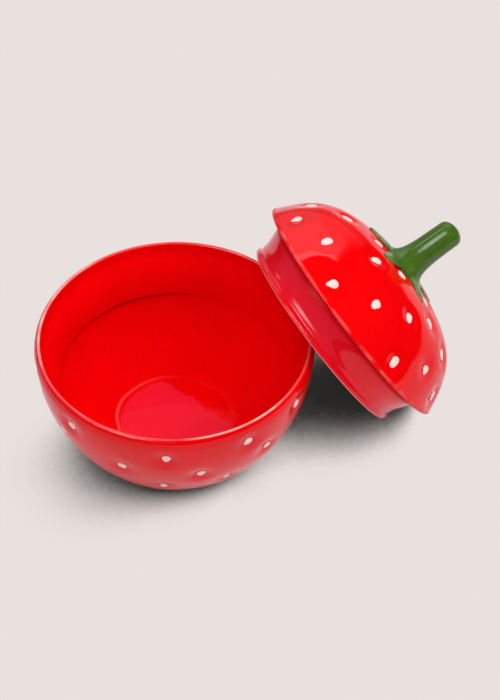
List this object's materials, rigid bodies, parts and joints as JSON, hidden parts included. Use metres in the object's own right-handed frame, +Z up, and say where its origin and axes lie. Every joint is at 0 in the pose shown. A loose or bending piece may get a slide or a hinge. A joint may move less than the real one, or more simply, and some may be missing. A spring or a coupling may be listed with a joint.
{
  "type": "strawberry jar",
  "caption": "Glazed ceramic jar shaped like a strawberry: a round seeded bowl with an inner lid seat, and a domed lid, taken off and stood on its edge, with a stem and calyx as its knob.",
  "frame": {"origin": "centre of the bowl's flat foot, on the surface that it stands on", "axes": "+Z up out of the bowl's mouth, +X from the bowl towards the lid that stands beside it"},
  "size_m": [0.2163, 0.138, 0.1095],
  "materials": {
    "red_glaze": "gloss red glaze over earthenware, thinner and paler on the edges",
    "seed_glaze": "cream seed under a clear gloss glaze",
    "green_glaze": "gloss leaf green glaze"
  },
  "bodies": {
    "bowl": {"bowl": "red_glaze", "bowl_seed_01": "seed_glaze", "bowl_seed_02": "seed_glaze", "bowl_seed_03": "seed_glaze", "bowl_seed_04": "seed_glaze", "bowl_seed_05": "seed_glaze", "bowl_seed_06": "seed_glaze", "bowl_seed_07": "seed_glaze", "bowl_seed_08": "seed_glaze", "bowl_seed_09": "seed_glaze", "bowl_seed_10": "seed_glaze", "bowl_seed_11": "seed_glaze", "bowl_seed_12": "seed_glaze", "bowl_seed_13": "seed_glaze", "bowl_seed_14": "seed_glaze", "bowl_seed_15": "seed_glaze", "bowl_seed_16": "seed_glaze", "bowl_seed_17": "seed_glaze", "bowl_seed_18": "seed_glaze", "bowl_seed_19": "seed_glaze", "bowl_seed_20": "seed_glaze", "bowl_seed_21": "seed_glaze", "bowl_seed_22": "seed_glaze", "bowl_seed_23": "seed_glaze", "bowl_seed_24": "seed_glaze", "bowl_seed_25": "seed_glaze", "bowl_seed_26": "seed_glaze", "bowl_seed_27": "seed_glaze", "bowl_seed_28": "seed_glaze"},
    "lid": {"lid": "red_glaze", "stem": "green_glaze", "lid_seed_01": "seed_glaze", "lid_seed_02": "seed_glaze", "lid_seed_03": "seed_glaze", "lid_seed_04": "seed_glaze", "lid_seed_05": "seed_glaze", "lid_seed_06": "seed_glaze", "lid_seed_07": "seed_glaze", "lid_seed_08": "seed_glaze", "lid_seed_09": "seed_glaze", "lid_seed_10": "seed_glaze", "lid_seed_11": "seed_glaze", "lid_seed_12": "seed_glaze", "lid_seed_13": "seed_glaze", "lid_seed_14": "seed_glaze", "lid_seed_15": "seed_glaze", "lid_seed_16": "seed_glaze", "lid_seed_17": "seed_glaze", "lid_seed_18": "seed_glaze", "lid_seed_19": "seed_glaze", "lid_seed_20": "seed_glaze", "lid_seed_21": "seed_glaze", "lid_seed_22": "seed_glaze", "lid_seed_23": "seed_glaze", "lid_seed_24": "seed_glaze", "lid_seed_25": "seed_glaze", "lid_seed_26": "seed_glaze", "lid_seed_27": "seed_glaze", "lid_seed_28": "seed_glaze", "lid_seed_29": "seed_glaze"}
  },
  "joints": [
    {"name": "lid_lift", "type": "slide", "parent": "bowl", "child": "lid", "axis": [0, 0, 1], "range_m": [0, 0.1]}
  ]
}
